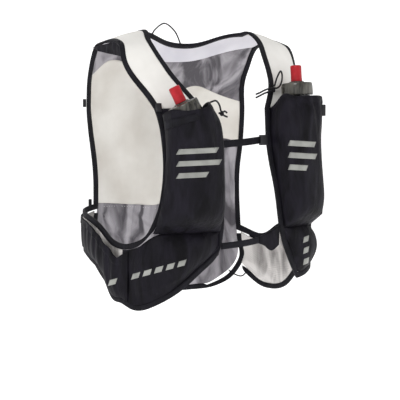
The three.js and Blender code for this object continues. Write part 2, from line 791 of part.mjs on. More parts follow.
const SIDE_ROWS = { right: RIGHT_SIDE, left: LEFT_SIDE };
const sideTop = (side, angle) => smooth(SIDE_ROWS[side.name], "angle", "top", angle);
const sideBottom = (side, angle) => smooth(SIDE_ROWS[side.name], "angle", "bottom", angle);

// How much longer a drop measures than the width of tape that covers it, where the edge slopes
function slopeFactor(side, edgeDrop, angle) {
  const turn = 0.5;
  const after = sidePoint(side.sign, angle + turn, edgeDrop(side, angle + turn));
  const before = sidePoint(side.sign, angle - turn, edgeDrop(side, angle - turn));
  const level = Math.hypot(after.x - before.x, after.y - before.y);
  return Math.hypot(level, after.z - before.z) / level;
}

function topInset(side, angle, distance) {
  return sideTop(side, angle) + shareOfHeight(distance * slopeFactor(side, sideTop, angle));
}

function bottomInset(side, angle, distance) {
  return sideBottom(side, angle) - shareOfHeight(distance * slopeFactor(side, sideBottom, angle));
}

function sideBackAngle(side, drop) {
  const run = runAt("back", drop);
  const edge = (at) => backEdge(side, at);
  const across = Math.abs(edge(run)) + insetAt(edge, run, SEAM_GAP);
  return angleOf("back", across, drop);
}

function sideMeshPlace(side) {
  const rows = SIDE_ROWS[side.name];
  const backAngle = rows[rows.length - 1].angle;
  return (down, across) => {
    const nominal = SIDE_SEAM_ANGLE + (backAngle - SIDE_SEAM_ANGLE) * across;
    const inset = TAPE_INSET + SEAM_GAP + HEM_CORNER_EASE * ease((across - 0.7) / 0.2);
    const top = topInset(side, nominal, inset);
    const drop = top + (bottomInset(side, nominal, inset) - top) * down;
    const angle = nominal + (sideBackAngle(side, drop) - backAngle) * Math.pow(across, 8);
    return onSide(side.sign, angle, drop);
  };
}

// The side pocket's mouth dips below the armhole tape, most beside the hip
const MOUTH_DIP = 12;
const MOUTH_ANGLE = -22;
const MOUTH_SPREAD = 5;

function sidePocketPoint(side, down, across) {
  const rows = SIDE_ROWS[side.name];
  const end = rows[rows.length - 1].angle - 4;
  const angle = SIDE_POCKET_FRONT_ANGLE + (end - SIDE_POCKET_FRONT_ANGLE) * across;
  const dip = MOUTH_DIP * Math.exp(-(((angle - MOUTH_ANGLE) / MOUTH_SPREAD) ** 2));
  const top = topInset(side, angle, TAPE_INSET + 1) + shareOfHeight(dip);
  const drop = top + (bottomInset(side, angle, TAPE_INSET) - top) * down;
  const arch = Math.pow(1 - Math.pow(Math.abs(2 * across - 1), 4), 0.6);
  const swell = (0.35 + 0.65 * Math.sin(Math.PI * (0.12 + 0.76 * down))) * ease((1 - down) * 5);
  const gather = SIDE_POCKET_GATHER * Math.cos(SIDE_PLEATS * 2 * Math.PI * across) * Math.pow(1 - down, 2);
  const foot = (MESH_CLOTH + CLOTH) / 2 + LAYER_GAP;
  const fullness = (1 - 0.85 * ease((across - 0.35) / 0.45)) * arch;
  const lift = foot + (SIDE_POCKET_PROUD * swell + SIDE_POCKET_GATHER + gather) * fullness;
  return onSide(side.sign, angle, drop, lift).point;
}

function lowerFrontPoint(side, down, across) {
  const rows = SIDE_ROWS[side.name];
  const medial = rows[0].angle + MEDIAL_TAPE_ANGLE;
  const angle = medial + (SIDE_SEAM_ANGLE - SEAM_ANGLE_GAP - medial) * across;
  const overlap = ease((ARMHOLE_ANGLE - angle) / 3);
  const seamTop = sideTop(side, angle) + shareOfHeight(SEAM_GAP);
  const top = seamTop * overlap + topInset(side, angle, TAPE_INSET + SEAM_GAP) * (1 - overlap);
  const drop = top + (bottomInset(side, angle, TAPE_INSET + SEAM_GAP) - top) * down;
  const arch = Math.pow(Math.sin(Math.PI * Math.min(1, across * 1.2)), 0.8);
  const swell = Math.pow(Math.sin(Math.PI * Math.pow(down, 0.8)), 0.8);
  return onSide(side.sign, angle, drop, LOWER_FRONT_PROUD * arch * swell).point;
}

for (const side of SIDES) {
  const outward = () => new THREE.Vector3(side.sign, -0.4, 0);
  const sidePocket = (down, across) => sidePocketPoint(side, down, across);
  const lowerFront = (down, across) => lowerFrontPoint(side, down, across);
  addPiece("side_mesh_" + side.name, sheet(sideMeshPlace(side), 6, 14, MESH_CLOTH), finish.sideMesh());
  addPiece("side_pocket_" + side.name, bulgedSheet(sidePocket, outward, 6, 21, CLOTH), finish.black());
  addPiece("lower_front_" + side.name, bulgedSheet(lowerFront, outward, 7, 12, CLOTH), finish.black());
}

// Edge tape: frames along the edges of the front, the back and the side bands

function frontFrame(side, which, run) {
  const edge = (at) => frontEdge(side, which, at);
  const inwards = which === "Outer" ? -side.sign : side.sign;
  const across = edge(run) + inwards * insetAt(edge, run, BINDING_WIDTH);
  return { edge: bodyPoint(edge(run), run), inner: bodyPoint(across, run), normal: onBody(across, run).normal };
}

function backFrame(side, run) {
  const edge = (at) => backEdge(side, at);
  const across = edge(run) - side.sign * insetAt(edge, run, BINDING_WIDTH);
  return { edge: bodyPoint(edge(run), run), inner: bodyPoint(across, run), normal: onBody(across, run).normal };
}

function neckFrame(across) {
  const run = runAt("back", necklineDrop(across));
  const beyond = runBeyond(across, run, BINDING_WIDTH);
  return { edge: bodyPoint(across, run), inner: bodyPoint(across, beyond), normal: onBody(across, run).normal };
}

function sideFrame(side, angle, edgeDrop, insetDrop) {
  return {
    edge: sidePoint(side.sign, angle, edgeDrop(side, angle)),
    inner: sidePoint(side.sign, angle, insetDrop(side, angle, BINDING_WIDTH)),
    normal: onSide(side.sign, angle, edgeDrop(side, angle)).normal,
  };
}

function neckTape() {
  const upwards = strapRuns.slice(1).reverse();
  const strapFrames = (side) => upwards.map((run) => frontFrame(side, "Inner", run));
  const corner = (side) => {
    const edge = (at) => frontEdge(side, "Inner", at);
    const across = edge(ridgeRun);
    const inner = across + side.sign * insetAt(edge, ridgeRun, BINDING_WIDTH);
    const beyond = runBeyond(across, ridgeRun, BINDING_WIDTH);
    const normal = onBody(across, ridgeRun).normal;
    return { edge: bodyPoint(across, ridgeRun), inner: bodyPoint(inner, beyond), normal };
  };
  const [right, left] = SIDES;
  return [
    ...strapFrames(right),
    corner(right),
    ...spaced(-0.54, 0.54, 13).map(neckFrame),
    corner(left),
    ...strapFrames(left).reverse(),
  ];
}

function armholeTape(side) {
  const rows = SIDE_ROWS[side.name];
  const backAngle = rows[rows.length - 1].angle;
  const underTop = runAt("back", sideTop(side, backAngle) - shareOfHeight(BINDING_WIDTH));
  const backFrames = spaced(ridgeRun, underTop, 22).map((run) => backFrame(side, run));
  const cornerRun = runAt("back", sideTop(side, backAngle));
  const corner = backFrame(side, runAt("back", sideTop(side, backAngle) + shareOfHeight(BINDING_WIDTH)));
  corner.edge = bodyPoint(backEdge(side, cornerRun), cornerRun);
  const under = spaced(backAngle - 5, ARMHOLE_ANGLE + 4, 14);
  const underFrames = under.map((angle) => sideFrame(side, angle, sideTop, topInset));
  const frontCorner = sideFrame(side, ARMHOLE_ANGLE, sideTop, topInset);
  const upwards = [...strapRuns.slice(1), ...panelRuns.slice(0, -1)].reverse();
  const frontFrames = upwards.map((run) => frontFrame(side, "Outer", run));
  frontCorner.inner = frontFrames[0].inner.clone().lerp(frontCorner.inner, 0.5);
  return [...backFrames, corner, ...underFrames, frontCorner, ...frontFrames];
}

function frontTape(side) {
  const rows = SIDE_ROWS[side.name];
  const backAngle = rows[rows.length - 1].angle;
  const edgeFrames = panelRuns.map((run) => frontFrame(side, "Inner", run));
  const hemEnd = sideBackAngle(side, sideBottom(side, backAngle)) - 3;
  const hem = spaced(rows[0].angle + MEDIAL_TAPE_ANGLE, hemEnd, 24);
  return [...edgeFrames, ...hem.map((angle) => sideFrame(side, angle, sideBottom, bottomInset))];
}

function backTape() {
  const edgeFrames = (side) => {
    const rows = SIDE_ROWS[side.name];
    const top = sideTop(side, rows[rows.length - 1].angle) + shareOfHeight(BINDING_WIDTH + TAPE_INSET);
    return spaced(runAt("back", top), runAt("back", 0.992), 12).map((run) => backFrame(side, run));
  };
  const hemInner = runAt("back", 1 - shareOfHeight(BINDING_WIDTH));
  const hem = spaced(BACK_EDGE[BACK_EDGE.length - 1].left, -BACK_EDGE[BACK_EDGE.length - 1].right, 9);
  const hemFrames = hem.map((across) => ({
    edge: bodyPoint(across, 1),
    inner: bodyPoint(across * 0.96, hemInner),
    normal: onBody(across, 0.999).normal,
  }));
  const [right, left] = SIDES;
  return [...edgeFrames(left), ...hemFrames, ...edgeFrames(right).reverse()];
}

addPiece("neck_binding", tape(neckTape()), finish.binding());
addPiece("back_binding", tape(backTape()), finish.binding());
for (const side of SIDES) {
  addPiece("armhole_binding_" + side.name, tape(armholeTape(side), true), finish.binding());
  addPiece("front_binding_" + side.name, tape(frontTape(side)), finish.binding());
}

// Chest straps: webbing along stations that each give a point and the direction of its face

function webbing(points, faces, width, thickness) {
  const up = new THREE.Vector3(0, 0, 1);
  const rings = points.map((point, i) => {
    const face = faces[i];
    const high = up.clone().addScaledVector(face, -up.dot(face)).normalize();
    return [[1, 1], [1, -1], [-1, -1], [-1, 1]].map(([a, b]) =>
      point
        .clone()
        .addScaledVector(high, (a * width) / 2)
        .addScaledVector(face, (b * thickness) / 2),
    );
  });
  return lofted(rings);
}

// A strap bowed forward between two ends in front of the breastbone
function bowedStrap(from, to, bow, width, thickness) {
  const count = 9;
  const shares = spaced(0, 1, count);
  const points = shares.map((t) => {
    const point = from.clone().lerp(to, t);
    point.y -= bow * Math.sin(Math.PI * t);
    return point;
  });
  const faces = points.map((_, i) => {
    const before = points[Math.max(0, i - 1)];
    const after = points[Math.min(count - 1, i + 1)];
    const along = after.clone().sub(before);
    return new THREE.Vector3(along.y, -along.x, 0).normalize();
  });
  return webbing(points, faces, width, thickness);
}

// A block whose width, height and depth lie along a face: depth along the direction off it
function blockOn(name, place, lift, size, surface) {
  const off = place.normal.clone().normalize();
  const high = new THREE.Vector3(0, 0, 1).addScaledVector(off, -off.z).normalize();
  const wide = high.clone().cross(off);
  const block = addPiece(name, new THREE.BoxGeometry(size.width, size.height, size.depth), surface);
  block.quaternion.setFromRotationMatrix(new THREE.Matrix4().makeBasis(wide, high, off));
  block.position.copy(place.point).addScaledVector(off, lift + size.depth / 2);
}

const [RIGHT, LEFT] = SIDES;
const upperRun = (drop) => runAt("front", drop);
const edgePoint = (side, drop) => bodyPoint(frontEdge(side, "Inner", upperRun(drop)), upperRun(drop));
const rightHold = edgePoint(RIGHT, UPPER_STRAP_DROP);
const leftHold = edgePoint(LEFT, UPPER_STRAP_DROP - UPPER_STRAP_RISE);
const ANCHOR_LENGTH = 11;
const anchorStart = rightHold.clone().add(new THREE.Vector3(LAYER_GAP * 2, 0, 0));
const anchorEnd = anchorStart.clone().add(new THREE.Vector3(ANCHOR_LENGTH, -1.5, 0.4));
const sliderFace = leftHold.clone().add(new THREE.Vector3(-LAYER_GAP - SLIDER_WIDTH, -2, 0));
addPiece("sternum_strap_anchor", bowedStrap(anchorStart, anchorEnd, 0, 10.5, 3.4), finish.binding());
const strapStart = anchorEnd.clone().add(new THREE.Vector3(LAYER_GAP, 0, 0));
const strapEnd = sliderFace.clone().add(new THREE.Vector3(-LAYER_GAP, 0, 0));
addPiece(
  "sternum_strap_upper",
  bowedStrap(strapStart, strapEnd, UPPER_STRAP_BOW, CHEST_STRAP_WIDTH, CHEST_STRAP_THICKNESS),
  finish.binding(),
);
const sliderPlace = {
  point: sliderFace.clone().add(new THREE.Vector3(SLIDER_WIDTH / 2, SLIDER_THICKNESS / 2, 0)),
  normal: new THREE.Vector3(0, -1, 0),
};
const sliderSize = { width: SLIDER_WIDTH, height: SLIDER_HEIGHT, depth: SLIDER_THICKNESS };
blockOn("sternum_slider", sliderPlace, 0, sliderSize, finish.plastic());

// The lower chest strap runs to a lobe of cloth beside the left front edge
const LOBE = table("across top bottom", [
  [0.2, 0.752, 0.775],
  [0.27, 0.743, 0.785],
  [0.34, 0.732, 0.806],
  [0.4, 0.72, 0.793],
  [0.45, 0.712, 0.775],
]);
// Degrees past the first row of the side table at which the front tape starts, for the lobe and the strap
const LOBE_REACH = 0.15;
const LOWER_STRAP_REACH = 1.7;
const lobePlace = (down, along) => {
  const last = sidePoint(LEFT.sign, LEFT_SIDE[0].angle + LOBE_REACH, 0.75).x / CHEST_HALF_WIDTH;
  const across = LOBE[0].across + (last - LOBE[0].across) * along;
  const top = smooth(LOBE, "across", "top", across);
  const drop = top + (smooth(LOBE, "across", "bottom", across) - top) * down;
  return onBody(across, runAt("front", drop));
};
addPiece("strap_anchor_left", sheet(lobePlace, 4, 7, CLOTH), finish.black());
const lobeTip = lobePlace(0.5, 0).point;
const lowerEnd = lobeTip.clone().add(new THREE.Vector3(-LAYER_GAP, 0, 0));
const rightRow = RIGHT_SIDE[0];
const lowerHold = sidePoint(RIGHT.sign, rightRow.angle + LOWER_STRAP_REACH, LOWER_STRAP_DROP);
const lowerStart = lowerHold.clone().add(new THREE.Vector3(SEAM_GAP + LAYER_GAP, 0, 0));
addPiece(
  "sternum_strap_lower",
  bowedStrap(lowerStart, lowerEnd, LOWER_STRAP_BOW, LOWER_STRAP_WIDTH, CHEST_STRAP_THICKNESS),
  finish.binding(),
);

// Tabs along the edges
const tabOff = BINDING_THICKNESS / 2 + LAYER_GAP;
const strapTabRun = runAt("front", 0.284);
const strapTab = onBody(frontEdge(RIGHT, "Outer", strapTabRun) * 0.96, strapTabRun);
blockOn("tab_strap_right", strapTab, tabOff, { width: 9, height: 13, depth: TAB_THICKNESS }, finish.plastic());
const pocketTab = { point: pocketPoint(LEFT, 0.08, 0.2), normal: new THREE.Vector3(0.88, -0.47, 0) };
const pocketTabSize = { width: 9, height: 17, depth: 7 };
blockOn("tab_pocket_left", pocketTab, CLOTH / 2 + LAYER_GAP * 2, pocketTabSize, finish.plastic());
for (const [name, drop, height, lift] of [["upper", 0.271, 12, 1.7], ["lower", 0.646, 13, 4]]) {
  const run = runAt("back", drop);
  const place = onBody(backEdge(RIGHT, run), run);
  const beside = { point: place.point, normal: new THREE.Vector3(-1, 0.25, 0) };
  const size = { width: TAB_THICKNESS, height, depth: 5 };
  blockOn("tab_back_" + name, beside, lift, size, finish.plastic());
}

// Cords with their knots; each route is a list of points in the vest's own frame
const ROUTES = {
  drawcord_right: [[-69.5, -133.4, -106.2], [-61, -134.5, -104], [-52, -131, -110], [-46.9, -127.6, -118.7]],
  drawcord_right_tail_a: [[-40.5, -124.3, -120.7], [-36.5, -122.6, -119.4], [-31.5, -121, -121.5]],
  drawcord_right_tail_b: [[-40.5, -124.3, -124.5], [-36.5, -122.8, -126], [-31.5, -122, -127.5]],
  drawcord_left_loop: [
    [78, -89.8, -84.7],
    [84, -88.3, -72],
    [95, -83.3, -62],
    [99, -81.3, -67],
    [95, -85.3, -78],
    [86, -90, -85.7],
    [80.7, -90.3, -87.5],
  ],
  drawcord_left_tail_a: [
    [71.6, -91.3, -87.4],
    [65, -93, -88],
    [56, -93.3, -90.5],
    [49, -93.3, -93.5],
    [42, -92.3, -96],
  ],
  drawcord_left_tail_b: [
    [71.6, -91.3, -90.6],
    [65, -93, -92.5],
    [56, -93.3, -95],
    [49, -93.3, -98],
    [42, -92.3, -101],
  ],
};
const NAPE_ROUTE = [[1, 43, -20.9], [-8, 45, -2], [-26, 46, 10], [-44, 44, 1], [-54.8, 39.1, -8.8]];
const HEM_ROUTE = [[127, 90.9, -378], [137, 89.5, -385], [147, 83.5, -388], [153, 78, -381]];
const KNOTS = { drawcord_right_knot: [-44.6, -126, -122.6], drawcord_left_knot: [76, -90.3, -89] };
const asPoints = (rows) => rows.map((row) => new THREE.Vector3(...row));

for (const [name, rows] of Object.entries(ROUTES)) {
  addPiece(name, cordGeometry(asPoints(rows), CORD_DIAMETER), finish.cord());
}
addPiece("nape_loop", cordGeometry(asPoints(NAPE_ROUTE), LOOP_CORD_DIAMETER), finish.cord());
addPiece("hem_cord", cordGeometry(asPoints(HEM_ROUTE), LOOP_CORD_DIAMETER), finish.cord());
for (const [name, at] of Object.entries(KNOTS)) {
  const knot = addPiece(name, new THREE.IcosahedronGeometry(KNOT_RADIUS, 1), finish.cord());
  knot.position.set(...at);
}

export default vest;
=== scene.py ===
"""A running hydration vest in its worn form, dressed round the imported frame.

Metres, +Z up, the front faces -Y and the wearer's left is +X.
"""

import math

import bmesh
import bpy
from mathutils import Matrix, Vector, noise
from mathutils.bvhtree import BVHTree
from mathutils.kdtree import KDTree


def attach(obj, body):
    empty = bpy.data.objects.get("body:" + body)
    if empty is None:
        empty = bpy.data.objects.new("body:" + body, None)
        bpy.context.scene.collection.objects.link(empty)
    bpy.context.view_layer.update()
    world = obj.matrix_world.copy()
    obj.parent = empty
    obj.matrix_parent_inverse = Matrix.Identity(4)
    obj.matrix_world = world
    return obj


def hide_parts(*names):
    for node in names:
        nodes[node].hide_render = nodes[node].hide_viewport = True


MM = 0.001

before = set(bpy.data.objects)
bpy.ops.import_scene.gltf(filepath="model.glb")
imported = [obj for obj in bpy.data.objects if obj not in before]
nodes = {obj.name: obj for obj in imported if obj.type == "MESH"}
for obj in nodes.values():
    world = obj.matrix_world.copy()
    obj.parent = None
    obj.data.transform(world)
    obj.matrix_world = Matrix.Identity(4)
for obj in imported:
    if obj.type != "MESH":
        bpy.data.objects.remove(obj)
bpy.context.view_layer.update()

# The photograph's camera: how far it stands round the vest, and the frame it sees
CAMERA_AZIMUTH = -35
CAMERA_ELEVATION = 3
CAMERA_DISTANCE = 2.5
CAMERA_AIM = Vector((0.0, 0.0, -0.2))
PHOTO_SIZE = 400
PHOTO_CENTRE = (196.3, 163.3)
METRES_PER_PIXEL = 1.5 * MM


def toward_camera():
    azimuth = math.radians(CAMERA_AZIMUTH)
    elevation = math.radians(CAMERA_ELEVATION)
    level = math.cos(elevation)
    return Vector((math.sin(azimuth) * level, -math.cos(azimuth) * level, math.sin(elevation)))


BACK = toward_camera()
RIGHT = Vector((0, 0, 1)).cross(BACK).normalized()
UP = BACK.cross(RIGHT)
EYE = CAMERA_AIM + BACK * CAMERA_DISTANCE


def add_camera():
    camera = bpy.data.cameras.new("camera")
    camera.sensor_width = 36
    camera.lens = camera.sensor_width * CAMERA_DISTANCE / (PHOTO_SIZE * METRES_PER_PIXEL)
    camera.shift_x = (PHOTO_SIZE / 2 - PHOTO_CENTRE[0]) / PHOTO_SIZE
    camera.shift_y = (PHOTO_CENTRE[1] - PHOTO_SIZE / 2) / PHOTO_SIZE
    holder = bpy.data.objects.new("camera", camera)
    holder.matrix_world = Matrix.Translation(EYE) @ Matrix((RIGHT, UP, BACK)).transposed().to_4x4()
    bpy.context.scene.collection.objects.link(holder)
    bpy.context.scene.camera = holder


def sight_line(pixel):
    """The direction from the camera through a pixel of the photograph."""
    across = (pixel[0] - PHOTO_CENTRE[0]) * METRES_PER_PIXEL
    down = (pixel[1] - PHOTO_CENTRE[1]) * METRES_PER_PIXEL
    return (RIGHT * across - UP * down - BACK * CAMERA_DISTANCE).normalized()


add_camera()

# Materials


def linear(colour):
    """The linear RGBA of an sRGB hex value."""
    channels = [int(colour[i : i + 2], 16) / 255 for i in (0, 2, 4)]
    spread = [c / 12.92 if c <= 0.04045 else ((c + 0.055) / 1.055) ** 2.4 for c in channels]
    return (*spread, 1.0)


def add(tree, kind, links=None, inputs=None, **settings):
    """Adds a node: its settings, its inputs' values, and links from other sockets to its inputs."""
    made = tree.nodes.new("ShaderNode" + kind)
    for name, value in settings.items():
        setattr(made, name, value)
    for name, value in (inputs or {}).items():
        made.inputs[name].default_value = value
    for name, socket in (links or {}).items():
        tree.links.new(socket, made.inputs[name])
    return made


def shader(name, base, **inputs):
    """A material with its tree, its shader and its Object coordinates."""
    made = bpy.data.materials.new(name)
    made.use_nodes = True
    tree = made.node_tree
    surface = tree.nodes["Principled BSDF"]
    surface.inputs["Base Color"].default_value = linear(base)
    for socket, value in inputs.items():
        surface.inputs[socket.replace("_", " ").title().replace("Ior", "IOR")].default_value = value
    place = add(tree, "TexCoord").outputs["Object"]
    return made, tree, surface, place


def mottled(
    tree, place, low, high, scale, detail=3.0, stretch=(1, 1, 1), turn=(0, 0, 0), edge=0.2, swirl=0.0
):
    """A colour that drifts between two hex values, scale patches to a metre; a small edge parts them."""
    mapping = add(tree, "Mapping", {"Vector": place}, {"Scale": stretch, "Rotation": turn})
    look = {"Scale": scale, "Detail": detail, "Distortion": swirl}
    cloud = add(tree, "TexNoise", {"Vector": mapping.outputs[0]}, look)
    ramp = add(tree, "ValToRGB", {"Fac": cloud.outputs["Fac"]})
    ramp.color_ramp.elements[0].position = 0.5 - edge
    ramp.color_ramp.elements[0].color = linear(low)
    ramp.color_ramp.elements[1].position = 0.5 + edge
    ramp.color_ramp.elements[1].color = linear(high)
    return ramp.outputs["Color"]


def threads(tree, place, spacing, turn=(0, 0, 0)):
    """The height of two sets of crossed threads, their spacing in metres."""
    # The wave texture draws 20 / (2 pi) stripes to a metre at a scale of 1
    scale = 1 / spacing / 20 * 2 * math.pi
    waves = []
    for direction in ("X", "Z"):
        mapping = add(tree, "Mapping", {"Vector": place}, {"Rotation": turn})
        place_in = {"Vector": mapping.outputs[0]}
        wave = add(tree, "TexWave", place_in, {"Scale": scale}, bands_direction=direction)
        waves.append(wave.outputs["Fac"])
    both = add(tree, "Math", operation="ADD")
    tree.links.new(waves[0], both.inputs[0])
    tree.links.new(waves[1], both.inputs[1])
    return both.outputs[0]


def bumped(tree, surface, *layers):
    """Stacks bump layers, each a (height socket, distance in metres, strength)."""
    normal = None
    for height, distance, strength in layers:
        bump = add(tree, "Bump", {"Height": height}, {"Distance": distance, "Strength": strength})
        if normal:
            tree.links.new(normal, bump.inputs["Normal"])
        normal = bump.outputs["Normal"]
    tree.links.new(normal, surface.inputs["Normal"])


def crumple(tree, place, scale, detail=4.0, stretch=(1, 1, 1)):
    """The height of small uneven creases, scale of them to a metre."""
    mapping = add(tree, "Mapping", {"Vector": place}, {"Scale": stretch})
    look = {"Scale": scale, "Detail": detail}
    return add(tree, "TexNoise", {"Vector": mapping.outputs[0]}, look).outputs["Fac"]


def woven_cloth(name, base, low, high, thread=1.4 * MM):
    """Light woven polyester: matte and a little soft, its real 0.4 mm threads drawn coarser to show."""
    made, tree, surface, place = shader(name, base, roughness=0.8, specular_ior_level=0.3, sheen_weight=0.05)
    tree.links.new(mottled(tree, place, low, high, 18), surface.inputs["Base Color"])
    bumped(
        tree,
        surface,
        (crumple(tree, place, 34), 3 * MM, 0.35),
        (threads(tree, place, thread), 0.3 * MM, 0.25),
    )
    return made


def sheer_mesh(name, low, high, veil):
    """Sheer knitted mesh: grey, slightly see-through, its colour drifting into bright streaks of painted
    sheen.
    """
    made, tree, surface, place = shader(name, high, roughness=0.42, alpha=veil, specular_ior_level=0.5)
    # Painted sheen: the bright streaks of this drift stand for shine on the mesh's folds, over its own grey.
    drift = mottled(tree, place, low, high, 24, 5.0, (1.0, 1.0, 0.32), (0, 0.35, 0), 0.12, 1.6)
    tree.links.new(drift, surface.inputs["Base Color"])
    bumped(
        tree,
        surface,
        (crumple(tree, place, 28, 5.0, (1.0, 1.0, 0.5)), 6 * MM, 0.8),
        (threads(tree, place, 2 * MM, (0, 0.6, 0)), 0.4 * MM, 0.5),
    )
    return made


def stretch_knit():
    """Black elastane knit: fine upright wales with a low satin shine."""
    made, tree, surface, place = shader("stretch_knit", "131118", roughness=0.55, specular_ior_level=0.1)
    drift = mottled(tree, place, "0a090d", "1b1921", 48, 5.0, (1, 1, 0.3), (0, 0.3, 0), 0.16, 1.2)
    tree.links.new(drift, surface.inputs["Base Color"])
    bumped(
        tree,
        surface,
        (crumple(tree, place, 30, 4.0, (1.6, 1.6, 0.4)), 6 * MM, 0.8),
        (threads(tree, place, 1.2 * MM), 0.2 * MM, 0.3),
    )
    return made


def ribbed_tape():
    """Woven polyester edge tape: near black with fine cross ribs."""
    made, tree, surface, place = shader("ribbed_tape", "121117", roughness=0.62, specular_ior_level=0.15)
    tree.links.new(mottled(tree, place, "0d0c11", "19181f", 60), surface.inputs["Base Color"])
    bumped(tree, surface, (threads(tree, place, 1.5 * MM), 0.4 * MM, 0.6))
    return made


def moulded_plastic(name, base, low, high, roughness, scale=90, stretch=(1, 1, 1), edge=0.2):
    """Moulded polypropylene: satin with a faint pebble; its colour drifts at random, and when drawn out
    upright, as on the caps, into pale streaks of painted highlight.
    """
    made, tree, surface, place = shader(name, base, roughness=roughness, specular_ior_level=0.4)
    # On the caps this drift, stretched upright, paints pale streaks: painted highlights on the ribs.
    drift = mottled(tree, place, low, high, scale, stretch=stretch, edge=edge)
    tree.links.new(drift, surface.inputs["Base Color"])
    bumped(tree, surface, (crumple(tree, place, 900), 0.1 * MM, 0.3))
    return made


def soft_silicone():
    """Dyed moulded silicone: slightly cloudy red with a soft shine."""
    made, tree, surface, place = shader("soft_silicone", "a80f1c", roughness=0.45, specular_ior_level=0.3)
    tree.links.new(mottled(tree, place, "980b16", "b21624", 120), surface.inputs["Base Color"])
    bumped(tree, surface, (crumple(tree, place, 400), 0.15 * MM, 0.3))
    return made


def flask_film():
    """Thermoplastic polyurethane film: smooth and glossy, its clear film coloured dark grey as painted shade
    from the pocket round it.
    """
    look = {"roughness": 0.2, "alpha": 0.85, "specular_ior_level": 0.5}
    # The greys 3a3b40, 2c2d31 and 55575c are painted shade on the clear film.
    made, tree, surface, place = shader("flask_film", "3a3b40", **look)
    tree.links.new(mottled(tree, place, "2c2d31", "55575c", 40), surface.inputs["Base Color"])
    bumped(tree, surface, (crumple(tree, place, 60), 2 * MM, 0.4))
    return made


def braided_cord():
    """Braided polyester cord: two sets of strands wound round it."""
    made, tree, surface, place = shader("braided_cord", "0e0d12", roughness=0.55, specular_ior_level=0.3)
    tree.links.new(mottled(tree, place, "0b0a0e", "1c1b21", 700), surface.inputs["Base Color"])
    bumped(tree, surface, (threads(tree, place, 1.3 * MM, (0.6, 0.8, 0.4)), 0.4 * MM, 0.7))
    return made


def beaded_film():
    """Reflective transfer film: grey with fine glass beads in it."""
    made, tree, surface, place = shader("beaded_film", "8c8d88", roughness=0.42, metallic=0.25)
    tree.links.new(mottled(tree, place, "82837f", "999a95", 60), surface.inputs["Base Color"])
    beads = add(tree, "TexVoronoi", {"Vector": place}, {"Scale": 1500.0}).outputs["Distance"]
    bumped(tree, surface, (beads, 0.1 * MM, 0.25))
    return made


def sewing_thread():
    """Spun polyester thread: pale, round and matte."""
    made, tree, surface, place = shader("sewing_thread", "d8d6d2", roughness=0.7)
    tree.links.new(mottled(tree, place, "c9c7c3", "e6e4e0", 500), surface.inputs["Base Color"])
    return made


PAPER_GLOW = 0.6


def studio_paper():
    """Matte paper backdrop, almost white, which also gives off white light of its own."""
    made, tree, surface, place = shader("studio_paper", "f6f6f6", roughness=0.95, specular_ior_level=0.1)
    tree.links.new(mottled(tree, place, "f5f5f5", "f8f8f8", 2), surface.inputs["Base Color"])
    surface.inputs["Emission Color"].default_value = linear("ffffff")
    surface.inputs["Emission Strength"].default_value = PAPER_GLOW
    return made


finish = {
    "yoke": woven_cloth("yoke_ripstop", "e6e4ea", "dcdae2", "f0eef4"),
    "strap": woven_cloth("strap_ripstop", "e2e0dc", "dad8d3", "eae8e4"),
    "panel": woven_cloth("panel_woven", "e0dcd5", "d8d3cb", "ebe8e2"),
    # In both meshes the drift to the high colour, in streaks, is painted sheen over the mesh's own grey.
    "mesh": sheer_mesh("back_mesh", "4e4a51", "b2aeb4", 0.93),
    "side_mesh": sheer_mesh("side_mesh", "94908e", "e6e2df", 0.93),
    "knit": stretch_knit(),
    "tape": ribbed_tape(),
    # The caps' pale 5c5a53 streaks, drawn out upright, are painted highlights on the ribs.
    "cap": moulded_plastic("cap_polypropylene", "1d1c1a", "100f0e", "5c5a53", 0.25, 190, (1, 1, 0.08), 0.17),
    "plastic": moulded_plastic("black_nylon", "121116", "0e0d12", "1a1920", 0.42),
    "valve": soft_silicone(),
    "flask": flask_film(),
    "cord": braided_cord(),
    "film": beaded_film(),
    "thread": sewing_thread(),
}

# Cords: the same routes as the solids follow, in millimetres
ROUTES = {
    "drawcord_right": [
        (-69.5, -133.4, -106.2),
        (-61, -134.5, -104),
        (-52, -131, -110),
        (-46.9, -127.6, -118.7),
    ],
    "drawcord_right_tail_a": [(-40.5, -124.3, -120.7), (-36.5, -122.6, -119.4), (-31.5, -121, -121.5)],
    "drawcord_right_tail_b": [(-40.5, -124.3, -124.5), (-36.5, -122.8, -126), (-31.5, -122, -127.5)],
    "drawcord_left_loop": [
        (78, -89.8, -84.7),
        (84, -88.3, -72),
        (95, -83.3, -62),
        (99, -81.3, -67),
        (95, -85.3, -78),
        (86, -90, -85.7),
        (80.7, -90.3, -87.5),
    ],
    "drawcord_left_tail_a": [
        (71.6, -91.3, -87.4),
        (65, -93, -88),
        (56, -93.3, -90.5),
        (49, -93.3, -93.5),
        (42, -92.3, -96),
    ],
    "drawcord_left_tail_b": [
        (71.6, -91.3, -90.6),
        (65, -93, -92.5),
        (56, -93.3, -95),
        (49, -93.3, -98),
        (42, -92.3, -101),
    ],
    "nape_loop": [(1, 43, -20.9), (-8, 45, -2), (-26, 46, 10), (-44, 44, 1), (-54.8, 39.1, -8.8)],
    "hem_cord": [(127, 90.9, -378), (137, 89.5, -385), (147, 83.5, -388), (153, 78, -381)],
}
KNOTS = {"drawcord_right_knot": (-44.6, -126, -122.6), "drawcord_left_knot": (76, -90.3, -89)}
CORD_DIAMETER = 2.6 * MM
LOOP_CORD_DIAMETER = 2.2 * MM
THIN_CORDS = ("nape_loop", "hem_cord")
KNOT_RADIUS = 4.6 * MM
KNOT_STEPS = 72
CORD_STEPS = 8


def cord_width(name):
    return LOOP_CORD_DIAMETER if name in THIN_CORDS else CORD_DIAMETER


def mix(p, q, from_t, to_t, t):
    """A point between p and q, as t is between their times."""
    return p * ((to_t - t) / (to_t - from_t)) + q * ((t - from_t) / (to_t - from_t))


